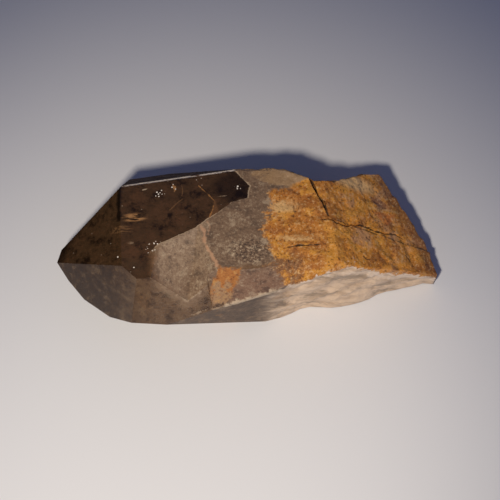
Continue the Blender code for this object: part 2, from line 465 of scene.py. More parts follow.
@dataclass(frozen=True)
class SmokyGrowth:
    """Smoky quartz with natural growth faces: glassy, dark and clear, with rust-gold veils just inside that
    are partly painted reflection, and painted glints.
    """

    dark: str = "#9b7149"
    cloud: str = "#b98257"
    deep: str = "#3c2613"
    edge_dark: str = "#140b06"
    haze: str = "#4a2e12"
    haze_light: str = "#8e6d4e"
    haze_pale: str = "#a0805c"
    haze_grey: str = "#5e4329"
    far: str = "#6b4426"
    far_dark: str = "#33200f"
    # Gold: rust stain, and on the veils and gilded flakes also painted reflection off the inner cracks.
    gold: str = "#a8794a"
    # Painted highlight: the colour of the glints.
    painted_glint: str = "#fff4e2"
    # Pale flakes: painted reflection off inner cracks.
    flake: str = "#c3ae92"
    # The worn top edge: partly real wear, partly painted highlight.
    sliver: str = "#eedbc4"
    # Glassy faces: most of the light goes in, and little is scattered.
    clear: float = 0.82
    polish: float = 0.05
    haze_clear: float = 0.5
    haze_rough: float = 0.2
    steep_clear: float = 0.15
    steep_rough: float = 0.45
    brown_patches: tuple[Oval, ...] = (
        Oval((-21.6, -6.4), (3.2, 2.6), 20.0), Oval((-14.3, 1.6), (5.5, 3.4), 35.0),
        Oval((-21.4, 4.6), (2.4, 2.6)),
    )
    low_haze: Oval = Oval((-21.4, -9.4), (3.4, 2.0), -20.0)
    window: Oval = Oval((-3.2, 7.4), (4.6, 3.4))
    veil: Oval = Oval((-22.2, 0.9), (3.0, 1.15), 5.0)
    faint_veil: Oval = Oval((-24.6, -1.6), (2.9, 1.0), -6.0)
    flakes: tuple[Flake, ...] = (
        Flake(Oval((-14.8, 7.5), (0.34, 1.3), 22.0), 1.0, gilded=True),
        Flake(Oval((-5.0, 5.5), (0.9, 0.16), 8.0), 0.6),
        Flake(Oval((-22.6, -4.5), (1.1, 0.4), 5.0), 0.35),
        Flake(Oval((-20.4, 6.9), (0.8, 0.16), 14.0), 0.8),
    )
    # The zones of dots and the pinpoints below are painted glints, painted highlights on the clear faces.
    glint_zones: tuple[Oval, ...] = (
        Oval((-18.3, -5.4), (1.9, 1.2), 30.0), Oval((-17.4, 5.9), (1.2, 0.9), 45.0),
        Oval((-2.3, 7.4), (0.7, 0.8)), Oval((-9.0, 9.0), (1.6, 0.5), 5.0),
    )
    pinpoints: tuple[Pinpoint, ...] = (
        Pinpoint((-25.1, -7.2), 0.15), Pinpoint((-2.3, 7.6), 0.17), Pinpoint((-21.9, -9.6), 0.12),
        Pinpoint((-18.0, 6.3), 0.16), Pinpoint((-17.7, 5.9), 0.13), Pinpoint((-17.4, 6.2), 0.1),
        Pinpoint((-17.1, 6.7), 0.11), Pinpoint((-18.2, 5.5), 0.1), Pinpoint((-17.6, 5.4), 0.13),
        Pinpoint((-17.0, 5.9), 0.09), Pinpoint((-15.1, 7.4), 0.14), Pinpoint((-14.4, 7.0), 0.1),
        Pinpoint((-14.9, 8.0), 0.09),
    )
    hairlines: tuple[Path, ...] = (
        ((-15.46, 2.39), (-13.9, 4.1), (-12.92, 4.86)), ((-13.25, 7.9), (-13.0, 6.8), (-13.13, 5.51)),
    )
    tip_rim: Path = ((-38.0, -3.6), (-36.6, -0.6), (-25.4, 10.9))
    dark_edge: Path = ((-25.3, 7.6), (-25.35, 4.0), (-25.2, 0.5))
    flank_lines: tuple[Path, ...] = (
        ((-31.6, -6.9), (-29.0, -9.6), (-26.3, -11.6), (-21.1, -16.0)), ((-24.6, -9.6), (-20.4, -13.4)),
        ((-17.5, -12.2), (-12.5, -15.6)),
    )
    flank_patch: Oval = Oval((-20.2, -14.6), (1.6, 1.0), -30.0)
    # The way that the worn top edge looks, and the steepest of the near faces.
    worn_way: Place = (-0.05, 0.48, 0.87)
    steep_way: Place = (0.24, -0.97, -0.02)

    def layer(self, pattern: Pattern) -> Layer:
        """Build the clear and hazy growth faces.

        Args:
            pattern: The material's patterns.

        Returns:
            The surface.
        """
        made = self.clear_faces(pattern)
        near = pattern.faces(NEAR, 0.35, 0.6)
        made = pattern.blend(near, made, self.near_faces(pattern))
        far = pattern.faces(FAR, 0.5, 0.7)
        made = pattern.blend(far, made, self.far_faces(pattern))
        # The worn top edge is painted pale: partly real wear, partly painted highlight.
        wear_and_highlight_noise = pattern.grain(1.3, 5.0, 0.7, (2.5, 1.0, 1.0))
        worn = pattern.both(pattern.faces(self.worn_way, 0.93, 0.965), pattern.fade(wear_and_highlight_noise, 0.4, 0.47))
        return pattern.blend(worn, made, Layer(linear(self.sliver), 0.0, 0.6))

    def clear_faces(self, pattern: Pattern) -> Layer:
        """Build the dark clear faces, with their clouds, their veils and flakes, which are partly painted
        reflection, and their painted glints.

        Args:
            pattern: The material's patterns.

        Returns:
            The surface.
        """
        tree = pattern.tree
        clouds = pattern.grain(3.6, 7.0, 0.72)
        fine = pattern.grain(0.8, 5.0, 0.75, (1.6, 1.0, 1.0))
        # Growth streaks are far finer; they are drawn at 0.4 mm so that they show.
        streaks = pattern.grain(0.4, 3.0, 0.6, (6.0, 1.0, 1.0))
        up = pattern.faces(UP, 0.7, 0.78)
        brown = pattern.either(pattern.spot(oval, 1.15, 0.3) for oval in self.brown_patches)
        # The clouds show more where the brown gathers.
        lift = add_node(tree, "Math", brown, 0.13, clouds, operation="MULTIPLY_ADD")
        edge = pattern.wander(pattern.from_path(self.dark_edge), 1.5)
        tone = pattern.colours(
            self.dark,
            (pattern.fade(lift, 0.5, 0.78), self.cloud),
            (pattern.fade(fine, 0.52, 0.64, 0.8), self.cloud),
            (pattern.fade(streaks, 0.58, 0.7, 0.6), self.haze_pale),
            (pattern.fade(clouds, 0.5, 0.34, 0.9), self.deep),
            (pattern.fade(fine, 0.5, 0.32, 0.6), self.deep),
            (pattern.spot(self.low_haze, 1.3, 0.0, 0.35), self.haze_pale),
            (pattern.spot(self.window, 1.1, 0.6, 0.6), self.deep),
            (pattern.fade(pattern.from_path(self.tip_rim), 2.6, 0.3, 0.75), self.deep),
            (pattern.fade(edge, 0.75, 0.1, 0.85), self.edge_dark),
        )
        made = Layer(tone, self.clear, self.polish)
        # The veils and flakes are real inner cracks; their gold is partly rust stain and partly painted
        # reflection, their pale paint is painted reflection.
        gold = Layer(linear(self.gold), 0.1, 0.4)
        inside = pattern.spot(self.veil, 1.05, 0.5)
        made = pattern.blend(pattern.both(inside, pattern.fade(streaks, 0.47, 0.57), up), made, gold)
        inside = pattern.spot(self.faint_veil, 1.1, 0.4, 0.4)
        made = pattern.blend(pattern.both(inside, pattern.fade(streaks, 0.44, 0.56), up), made, gold)
        pale = Layer(linear(self.flake), 0.0, 0.4)
        for flake in self.flakes:
            wavy = pattern.wander(pattern.patch(flake.oval), 5.0)
            wavy = add_node(tree, "Math", fine, -1.2, wavy, operation="MULTIPLY_ADD")
            shown = pattern.both(pattern.fade(wavy, 0.4, -0.3, flake.share), up)
            made = pattern.blend(shown, made, gold if flake.gilded else pale)
        for path in self.hairlines:
            made = pattern.blend(pattern.both(pattern.line(path, 0.12, 0.5, 0.35), up), made, gold)
        return self.sparkle(pattern, made, up)

    def sparkle(self, pattern: Pattern, under: Layer, up: Source) -> Layer:
        """Scatter the pinpoints and other painted glints, which are painted highlights, over the clear faces.

        Args:
            pattern: The material's patterns.
            under: The clear faces.
            up: The mask of the faces that look up.

        Returns:
            The two as one.
        """
        tree = pattern.tree
        # The glints are painted highlights. Real glints are points; they are drawn 0.2 to 0.3 mm wide so that
        # they show.
        named = {"Scale": 1 / (0.5 * MM), "Randomness": 1.0}
        cells = add_node(tree, "TexVoronoi", pattern.metres, named=named)
        # Noise makes the painted glints differ in size and drops some.
        sizes = pattern.grain(0.9, 2.0, 0.5)
        ragged = add_node(tree, "Math", sizes, -1.0, cells.outputs["Distance"], operation="MULTIPLY_ADD")
        dots = pattern.fade(ragged, -0.2, -0.34)
        zone = pattern.either(pattern.spot(oval, 1.1, 0.7) for oval in self.glint_zones)
        # A few fainter painted glints lie all over.
        named = {"Scale": 1 / (1.7 * MM), "Randomness": 1.0}
        stray = add_node(tree, "TexVoronoi", pattern.metres, named=named)
        stray_glints = pattern.fade(stray.outputs["Distance"], 0.075, 0.035, 0.45)
        share = add_node(tree, "Math", pattern.both(dots, zone), stray_glints, operation="MAXIMUM")
        for glint in self.pinpoints:
            dot = pattern.spot(Oval(glint.centre, (glint.radius, glint.radius)), 1.3, 0.7)
            share = add_node(tree, "Math", share, dot, operation="MAXIMUM")
        return pattern.blend(pattern.both(share, up), under, Layer(linear(self.painted_glint), 0.0, 0.3))

    def near_faces(self, pattern: Pattern) -> Layer:
        """Build the near faces, which mirror the bright sheet and so look hazy, with faint lines under them.

        Args:
            pattern: The material's patterns.

        Returns:
            The surface.
        """
        mottle = pattern.grain(1.8, 7.0, 0.76)
        lit = pattern.fade(pattern.x, -29.0, -17.0)
        steep = pattern.faces(self.steep_way, 0.93, 0.98)
        lines = pattern.either(pattern.line(path, 0.3, 2.2, 0.2) for path in self.flank_lines)
        patch = pattern.both(pattern.spot(self.flank_patch, 1.2, 0.4, 0.35), pattern.fade(mottle, 0.42, 0.6))
        tone = pattern.colours(
            self.haze,
            (lit, self.haze_light),
            (steep, self.haze_grey),
            (pattern.fade(mottle, 0.5, 0.39, 0.65), self.deep),
            (pattern.fade(mottle, 0.51, 0.64, 0.5), self.haze_pale),
            (lines, self.haze_pale),
            (patch, self.gold),
        )
        clear = add_node(pattern.tree, "Mix", steep, self.haze_clear, self.steep_clear, data_type="FLOAT")
        rough = add_node(pattern.tree, "Mix", steep, self.haze_rough, self.steep_rough, data_type="FLOAT")
        return Layer(tone, clear, rough)

    def far_faces(self, pattern: Pattern) -> Layer:
        """Build the far upper faces, brown and worn matt, seen only as a strip.

        Args:
            pattern: The material's patterns.

        Returns:
            The surface.
        """
        mottle = pattern.grain(1.6, 5.0, 0.65, (2.0, 1.0, 1.0))
        tone = pattern.colours(self.far, (pattern.fade(mottle, 0.62, 0.36, 0.8), self.far_dark))
        return Layer(tone, 0.0, 1.0)


@dataclass(frozen=True)
class FrostedContact:
    """Quartz that grew against its neighbours: fine matt pits, which scatter the light to a warm grey."""

    light: str = "#95795e"
    dark: str = "#795d44"
    pit: str = "#4b3a2c"
    pale: str = "#cdb493"
    peach: str = "#c39470"
    brown: str = "#8a674d"
    brown_dark: str = "#5c4130"
    clear: float = 0.06
    rough: float = 0.5
    edge: Path = (
        (-12.5, -19.0), (-11.1, -18.9), (-8.6, -19.2), (-6.4, -18.9), (-4.7, -17.3), (-2.81, -13.34),
        (-1.23, -10.3), (0.79, -7.83), (2.28, -5.72), (4.22, -3.41), (5.08, -0.43), (7.68, 0.08),
        (10.3, -2.27), (11.4, -3.0),
    )
    foot: Path = (
        (-20.0, -9.5), (-19.04, -10.5), (-17.9, -11.76), (-11.84, -14.17), (-9.12, -12.89), (-7.5, -11.5),
        (-2.4, -9.5), (5.2, -8.6), (9.0, -8.9),
    )
    ridge: Path = ((-9.44, -0.91), (-8.62, -1.97), (-8.63, -4.07), (-7.75, -5.74), (-6.19, -8.86))
    ridge_twin: Path = ((-8.3, 0.4), (-7.6, -1.2), (-8.0, -2.6))
    speckled: Oval = Oval((0.2, -5.9), (4.6, 3.0))
    dull: Oval = Oval((-10.6, -11.0), (3.2, 3.4))
    low_edge: Path = (
        (-12.1, -16.1), (-10.6, -15.7), (-8.7, -15.1), (-7.1, -14.9), (-2.3, -13.8), (2.0, -12.8),
        (6.0, -11.8),
    )
    low_top: Path = ((-12.1, 13.0), (-8.7, 13.9), (-2.3, 14.5), (2.0, 15.4), (6.0, 15.75))
    tail: Path = ((-13.0, -13.7), (-12.0, -14.2), (-9.5, -12.9))
    worn_edge: Path = ((-4.5, -14.3), (-1.5, -13.65), (2.4, -12.7), (6.1, -11.7))
    # The way that the lower facet looks, which is browner than the rest.
    brown_way: Place = (0.11, -0.85, 0.51)

    def layer(self, pattern: Pattern, under: Layer) -> Layer:
        """Lay the frosted faces over the growth faces.

        Args:
            pattern: The material's patterns.
            under: The growth faces.

        Returns:
            The two as one.
        """
        tree = pattern.tree
        past_edge = pattern.past(pattern.x, pattern.y, self.edge, pattern.drift)
        past_foot = pattern.past(pattern.y, pattern.x, self.foot, pattern.drift)
        wall = pattern.fade(pattern.past(pattern.y, pattern.x, self.low_edge, pattern.drift), -0.1, 0.1)
        # Real etch pits are under a tenth of a millimetre; they are drawn coarser so that they show.
        fine = pattern.grain(0.55, 4.0, 0.8)
        broad = pattern.grain(3.0, 6.0, 0.7)
        right = pattern.fade(pattern.x, -9.2, -7.4, 0.8)
        speckled = pattern.spot(self.speckled, 1.2, 0.5)
        tone = pattern.colours(
            self.light,
            (right, self.dark),
            (pattern.spot(self.dull, 1.2, 0.3, 0.75), self.dark),
            (pattern.fade(broad, 0.49, 0.38, 0.5), self.pit),
            (pattern.fade(broad, 0.52, 0.64, 0.4), self.pale),
            (pattern.fade(fine, 0.53, 0.66, 0.45), self.pale),
            (pattern.fade(fine, 0.47, 0.34, 0.6), self.pit),
            (pattern.both(speckled, pattern.fade(fine, 0.5, 0.42)), self.pit),
            (pattern.both(speckled, pattern.fade(fine, 0.57, 0.63)), self.pale),
        )
        brown_tone = pattern.colours(
            self.brown,
            (pattern.fade(broad, 0.49, 0.39, 0.8), self.brown_dark),
            (pattern.fade(broad, 0.53, 0.66, 0.4), self.pale),
            (pattern.fade(fine, 0.54, 0.66, 0.35), self.pale),
            (pattern.fade(fine, 0.46, 0.34, 0.6), self.brown_dark),
        )
        low = pattern.both(
            pattern.fade(pattern.x, -5.5, -3.0), pattern.fade(past_foot, 0.2, -0.2),
            pattern.faces(self.brown_way, 0.9, 0.96),
        )
        made = pattern.blend(low, under, Layer(brown_tone, 0.1, 0.4))
        # Toward the tip the frosting thins and the dark quartz shows through.
        thin = add_node(tree, "MapRange", pattern.x, -21.5, -17.0, 0.3, 1.0, interpolation_type="SMOOTHSTEP")
        foot = pattern.fade(past_foot, -2.2, 1.2)
        crisp = pattern.fade(pattern.y, -7.6, -4.2)
        start = add_node(
            tree, "Mix", crisp, pattern.fade(past_edge, -0.7, 2.4), pattern.fade(past_edge, -0.08, 0.12),
            data_type="FLOAT",
        )
        frosted = pattern.both(start, foot, thin, wall)
        made = pattern.blend(frosted, made, Layer(tone, self.clear, self.rough))
        pale = Layer(linear(self.pale), 0.0, self.rough)
        reach = add_node(tree, "Math", past_edge, operation="ABSOLUTE")
        high = pattern.fade(pattern.past(pattern.z, pattern.x, self.low_top), -0.7, -0.2)
        worn = pattern.both(
            pattern.fade(reach, 0.24, 0.03, 0.7), pattern.fade(broad, 0.36, 0.5), crisp, thin, wall
        )
        made = pattern.blend(worn, made, pale)
        peach = Layer(linear(self.peach), 0.0, self.rough)
        for path, width, share, over in (
            (self.ridge, 0.42, 0.75, peach),
            (self.ridge_twin, 0.26, 0.45, peach),
            (self.low_edge, 0.2, 0.45, pale),
            (self.worn_edge, 0.36, 0.7, pale),
            (self.tail, 0.2, 0.35, pale),
        ):
            made = pattern.blend(pattern.both(pattern.line(path, width, 1.8, share), high), made, over)
        return made


@dataclass(frozen=True)
class RustSeam:
    """Limonite drawn into a hairline crack and a sliver beside it: an orange line in the dark quartz."""

    line: str = "#c98a48"
    sliver: str = "#8a5a36"
    path: Path = ((-9.9, 7.68), (-8.3, 6.1), (-6.73, 4.34), (-7.1, 2.6), (-7.72, 1.04))
    corners: Path = ((-6.73, 4.34), (-7.72, 1.04), (-5.9, 2.0))

    def layer(self, pattern: Pattern, under: Layer) -> Layer:
        """Lay the seam over the growth faces.

        Args:
            pattern: The material's patterns.
            under: The surface so far.

        Returns:
            The two as one.
        """
        beside = pattern.fade(pattern.outside(self.corners), 0.3, -0.2, 0.45)
        made = pattern.blend(beside, under, Layer(linear(self.sliver), 0.3, 0.3))
        # A real seam is a hairline; it is drawn a few tenths of a millimetre wide so that it shows.
        seam = pattern.line(self.path, 0.17, 0.9, 0.6)
        return pattern.blend(seam, made, Layer(linear(self.line), 0.1, 0.4))


@dataclass(frozen=True)
class LimoniteCrust:
    """Limonite, the rust of iron, dried on a break: matt, crumbly, ochre with cream and dark grains."""

    mid: str = "#bd7625"
    bright: str = "#d79231"
    deep: str = "#945217"
    cream: str = "#e2bb83"
    tan: str = "#b58e60"
    root: str = "#e7962c"
    rose: str = "#c69468"
    purple: str = "#7f5440"
    orange: str = "#c06c2a"
    grain_dark: str = "#38220f"
    end: str = "#7c4a24"
    # Painted shade for the lower left of the crust.
    painted_low_shade: str = "#835a38"
    rough: float = 0.8
    edge: Path = (
        (-12.1, 8.6), (-10.1, 6.0), (-9.3, 3.4), (-7.7, 4.6), (-5.7, 4.4), (-3.6, 3.4), (-2.2, 2.8),
        (-0.1, 3.0), (2.2, 4.0), (4.7, 3.2), (6.6, 3.2), (7.7, 3.4), (8.5, 8.5), (10.2, 12.3), (11.6, 12.8),
    )
    top: Path = ((1.0, 7.3), (6.0, 7.4), (8.5, 7.9), (10.5, 9.4), (12.0, 13.0), (14.0, 20.0))
    pale_patch: Oval = Oval((6.6, 3.5), (4.4, 1.5), 8.0)
    pale_shelf: Oval = Oval((9.5, -2.9), (4.5, 0.9), 4.0)
    tan_top: Oval = Oval((6.6, 9.4), (6.0, 2.0), -12.0)
    tan_root: Oval = Oval((20.2, 10.9), (6.0, 2.1), -4.0)
    low_shade_patch: Oval = Oval((6.2, -9.2), (5.0, 3.8))
    shade_patch: Oval = Oval((26.2, 8.0), (2.5, 1.1), -18.0)
    ridge_highlight: Path = ((15.9, -2.6), (16.0, -5.0), (15.4, -7.6))
    orange_chip: Path = ((24.5, 5.7), (27.7, 3.5), (29.6, 6.6))
    chip_rim: Path = ((24.0, 6.2), (26.5, 6.9), (29.8, 7.2))
    end_edge: Path = (
        (27.4, 13.4), (28.4, 11.9), (31.0, 8.4), (33.5, 5.2), (35.9, 1.6), (37.0, -1.9), (37.6, -4.0),
    )

    def layer(self, pattern: Pattern, under: Layer) -> Layer:
        """Lay the crust over the rest.

        Args:
            pattern: The material's patterns.
            under: The surface so far.

        Returns:
            The two as one.
        """
        tree = pattern.tree
        fingers = pattern.grain(1.8, 6.0, 0.65, (2.4, 1.0, 1.0))
        fray = add_node(tree, "Math", fingers, 0.5, operation="SUBTRACT")
        fray = add_node(tree, "Math", fray, 9.0, operation="MULTIPLY")
        clumps = pattern.grain(2.6, 6.0, 0.65)
        # Real crumbs are mostly finer; they are drawn at 0.6 mm so that they show.
        crumbs = pattern.grain(0.6, 4.0, 0.8)
        # The crust thins out into separate crumbs at its edge.
        loose = add_node(tree, "Math", crumbs, 4.0, fray, operation="MULTIPLY_ADD")
        past_edge = pattern.past(pattern.x, pattern.y, self.edge, loose)
        below = add_node(tree, "Math", pattern.edge(pattern.x, self.top), pattern.y, operation="SUBTRACT")
        below = add_node(tree, "Math", clumps, 5.0, below, operation="MULTIPLY_ADD")
        patches = pattern.grain(6.0, 4.0, 0.55, (1.4, 1.0, 1.0))
        patch = pattern.both(pattern.spot(self.pale_patch, 1.2, 0.5, 0.6), pattern.fade(clumps, 0.38, 0.6))
        shelf = pattern.both(pattern.spot(self.pale_shelf, 1.2, 0.5, 0.6), pattern.fade(clumps, 0.42, 0.6))
        rooted = pattern.fade(pattern.x, 15.0, 20.0, 0.7)
        # Painted highlight along the ridge.
        ridge = pattern.fade(pattern.from_path(self.ridge_highlight), 1.6, 0.3, 0.8)
        shade = pattern.spot(self.shade_patch, 1.2, 0.5, 0.75)
        chip = pattern.fade(pattern.outside(self.orange_chip), 0.3, -0.2, 0.75)
        rim = pattern.fade(pattern.from_path(self.chip_rim), 0.4, 0.1, 0.25)
        # Painted shade: the crust is darkened at its lower left.
        thin = pattern.both(pattern.spot(self.low_shade_patch, 1.25, 0.5, 0.9), pattern.fade(clumps, 0.62, 0.44))
        tone = pattern.colours(
            self.mid,
            (rooted, self.root),
            (pattern.both(rooted, pattern.fade(patches, 0.5, 0.6)), self.rose),
            (pattern.fade(patches, 0.5, 0.38, 0.45), self.deep),
            (pattern.fade(clumps, 0.48, 0.38, 0.65), self.deep),
            (pattern.fade(clumps, 0.51, 0.62, 0.9), self.bright),
            (ridge, self.bright),
            (patch, self.cream),
            (shelf, self.cream),
            (thin, self.painted_low_shade),
            (pattern.spot(self.tan_root, 1.2, 0.4, 0.7), self.cream),
            (pattern.fade(pattern.from_path(self.end_edge), 3.4, 0.8, 0.7), self.end),
            (shade, self.purple),
            (chip, self.orange),
            (rim, self.cream),
            (pattern.fade(crumbs, 0.53, 0.64, 0.65), self.cream),
            (pattern.fade(crumbs, 0.46, 0.35, 0.8), self.grain_dark),
        )
        ragged = add_node(tree, "Math", fray, 0.25, pattern.patch(self.tan_top), operation="MULTIPLY_ADD")
        made = pattern.blend(pattern.fade(ragged, 1.1, 0.7, 0.6), under, Layer(linear(self.tan), 0.0, 0.6))
        mask = pattern.both(pattern.fade(past_edge, 1.5, 2.7), pattern.fade(below, 2.0, 3.2))
        return pattern.blend(mask, made, Layer(tone, 0.0, self.rough))


@dataclass(frozen=True)
class MilkyBreak:
    """Milky quartz broken across: cloudy cream white in thin silky sheets, which scatter the light back."""

    white: str = "#e2c3a1"
    shade: str = "#b39373"
    hollow: str = "#8b745b"
    pale: str = "#f2dcc4"
    rough: float = 0.42
    top: Path = (
        (3.0, 15.2), (6.4, 15.7), (8.8, 16.5), (11.4, 17.2), (13.9, 18.0), (17.4, 18.7), (19.4, 18.4),
        (21.4, 16.8), (25.7, 12.5), (30.2, 9.6), (34.8, 6.2), (38.0, 3.5),
    )
    side: Path = ((3.0, -10.4), (6.4, -9.4), (14.0, -7.0), (19.4, -5.4), (30.2, -3.2), (38.0, -2.0))

    def layer(self, pattern: Pattern, under: Layer) -> Layer:
        """Lay the milky broken wall over the rest.

        Args:
            pattern: The material's patterns.
            under: The surface so far.

        Returns:
            The two as one.
        """
        tree = pattern.tree
        wander = add_node(tree, "Math", pattern.drift, 7.0, operation="MULTIPLY")
        above = pattern.past(pattern.z, pattern.x, self.top, wander)
        behind = pattern.past(pattern.y, pattern.x, self.side)
        out = add_node(tree, "Math", above, behind, operation="MAXIMUM")
        # The sheets run down the wall with its top edge. Real ones are thinner; these are drawn to show.
        sheets = pattern.grain(1.3, 5.0, 0.6, (5.0, 1.6, 1.0), 25.0)
        clouds = pattern.grain(2.6, 5.0, 0.65, (3.5, 1.4, 1.0), 22.0)
        tone = pattern.colours(
            self.white,
            (pattern.fade(sheets, 0.56, 0.4, 0.6), self.shade),
            (pattern.fade(clouds, 0.48, 0.36, 0.7), self.hollow),
            (pattern.both(pattern.fade(above, -3.2, -0.6, 0.7), pattern.fade(sheets, 0.4, 0.58)), self.pale),
        )
        ragged = add_node(tree, "Math", clouds, 0.5, operation="SUBTRACT")
        ragged = add_node(tree, "Math", ragged, 14.0, pattern.x, operation="MULTIPLY_ADD")
        start = pattern.fade(ragged, 1.2, 8.6)
        mask = pattern.both(pattern.fade(out, 0.35, -0.35), start)
        return pattern.blend(mask, under, Layer(tone, 0.0, self.rough))


@dataclass(frozen=True)
class StainedChip:
    """A chip off the near edge with limonite in its pores: orange at the top, cream below."""

    orange: str = "#aa6622"
    cream: str = "#9f7a55"
    light: str = "#c2914f"
    deep: str = "#6b3a12"
    rough: float = 0.7
    outline: Path = (
        (-7.2, -14.8), (-3.6, -13.6), (-2.2, -11.4), (-1.7, -9.7), (-5.6, -9.1), (-7.0, -10.9),
        (-7.95, -12.6),
    )

    def layer(self, pattern: Pattern, under: Layer) -> Layer:
        """Lay the chip over the rest.

        Args:
            pattern: The material's patterns.
            under: The surface so far.

        Returns:
            The two as one.
        """
        out = pattern.wander(pattern.outside(self.outline), 3.0)
        crumbs = pattern.grain(0.8, 5.0, 0.78)
        split = pattern.wander(pattern.y, 12.0)
        tone = pattern.colours(
            self.cream,
            (pattern.fade(split, -12.9, -11.3, 0.9), self.orange),
            (pattern.fade(crumbs, 0.48, 0.38, 0.7), self.deep),
            (pattern.fade(crumbs, 0.52, 0.62, 0.6), self.light),
        )
        return pattern.blend(pattern.fade(out, 0.25, -0.35), under, Layer(tone, 0.0, self.rough))


@dataclass(frozen=True)
class Crack:
    """One crack: how wide it gapes and where it runs."""

    width: float
    path: Path


@dataclass(frozen=True)
class OpenCracks:
    """Cracks that have opened in the root, dark at the bottom with painted shade."""

    crack_shade: str = "#20140b"
    rough: float = 0.9
    cracks: tuple[Crack, ...] = (
        Crack(0.2, ((11.0, 11.4), (12.3, 8.5), (13.0, 6.8), (13.7, 5.6), (14.5, 4.1), (15.2, 1.8))),
        Crack(0.1, (
            (14.1, 0.8), (15.2, 1.0), (16.2, 0.8), (17.2, 0.5), (18.6, 0.5), (20.1, 1.3), (21.8, 1.7),
            (23.4, 1.8), (24.3, 1.6), (25.5, 1.4), (27.3, 1.7), (29.2, 2.2), (30.8, 1.7),
        )),
        Crack(0.1, ((6.6, -5.2), (9.6, -4.6), (13.4, -4.3))),
        Crack(0.1, ((30.9, -1.9), (32.2, -2.9))),
        Crack(0.07, ((22.2, -5.1), (22.8, -5.5), (23.5, -5.4))),
    )

    def layer(self, pattern: Pattern, under: Layer) -> Layer:
        """Darken the cracks with painted shade.

        Args:
            pattern: The material's patterns.
            under: The surface so far.

        Returns:
            The two as one.
        """
        made = under
        for crack in self.cracks:
            gap = pattern.from_path(crack.path)
            gap = add_node(pattern.tree, "Math", gap, pattern.drift, operation="ADD")
            mask = pattern.fade(gap, crack.width * 1.6, crack.width * 0.5, 0.85)
            made = pattern.blend(mask, made, Layer(linear(self.crack_shade), 0.0, self.rough))
        return made


@dataclass(frozen=True)
class QuartzFinish:
    """Natural quartz, grown, etched by contact, broken and rusted: surfaces that run into each other."""

    name: str = "natural smoky quartz, grown and broken"
    ior: float = 1.544
    # Smoke takes up the blue first, which warms what light comes through.
    smoke: str = "#c08a55"
    smoke_density: float = 160.0
    growth: SmokyGrowth = SmokyGrowth()
    frost: FrostedContact = FrostedContact()
    seam: RustSeam = RustSeam()
    crust: LimoniteCrust = LimoniteCrust()
    milk: MilkyBreak = MilkyBreak()
    chip: StainedChip = StainedChip()
    cracks: OpenCracks = OpenCracks()

    def material(self) -> bpy.types.Material:
        """Build the stone's material, each kind of surface laid over the one it formed on.

        Returns:
            The material.
        """
        made = bpy.data.materials.new(self.name)
        made.use_nodes = True
        tree = made.node_tree
        tree.nodes.clear()
        pattern = Pattern(tree)
        layer = self.growth.layer(pattern)
        for coat in (self.seam, self.frost, self.crust, self.milk, self.chip, self.cracks):
            layer = coat.layer(pattern, layer)
        bump = add_node(tree, "Bump", named={"Strength": 1.0, "Distance": MM, "Height": self.relief(pattern)})
        named = {
            "Base Color": layer.tone,
            "Roughness": layer.rough,
            "IOR": self.ior,
            "Transmission Weight": layer.clear,
            "Normal": bump,
        }
        surface = add_node(tree, "BsdfPrincipled", named=named)
        smoke = add_node(tree, "VolumeAbsorption", linear(self.smoke), self.smoke_density)
        out = add_node(tree, "OutputMaterial", surface)
        tree.links.new(smoke.outputs[0], out.inputs["Volume"])
        log.info("%s: %d nodes", self.name, len(tree.nodes))
        return made

    def relief(self, pattern: Pattern) -> bpy.types.Node:
        """Give the relief too fine for the mesh: pits, crumbs on the crust and sheets on the milky wall.

        Args:
            pattern: The material's patterns.

        Returns:
            A node that gives the height in millimetres.
        """
        tree = pattern.tree
        # The pits are several times as wide as real ones, so that they show.
        pits = pattern.grain(0.45, 2.0, 0.6)
        crumbs = pattern.grain(0.6, 3.0, 0.75)
        sheets = pattern.grain(1.5, 3.0, 0.55, (4.0, 1.6, 1.0), 25.0)
        wall = pattern.faces(NEAR, 0.5, 0.8)
        far = pattern.faces(FAR, 0.5, 0.7)
        frosted = pattern.fade(pattern.past(pattern.x, pattern.y, self.frost.edge), 0.0, 0.4, 0.08)
        broken = pattern.fade(pattern.x, 3.5, 5.5)
        rough = add_node(tree, "Mix", wall, crumbs, sheets, data_type="FLOAT")
        rough = add_node(tree, "Math", rough, 0.2, operation="MULTIPLY")
        depth = add_node(tree, "Mix", far, frosted, 0.35, data_type="FLOAT")
        fine = add_node(tree, "Math", pits, depth, operation="MULTIPLY")
        return add_node(tree, "Mix", broken, fine, rough, data_type="FLOAT")


class Region(Enum):
    """The parts of the skin that are roughened."""

    BROKEN = "broken"
    FAR = "far"


@dataclass(frozen=True)
class Lumps:
    """Lumps pressed into the skin: how wide, how many finer sizes are added, how high and where."""

    name: str
    width: float
    finer: int
    height: float
    region: Region


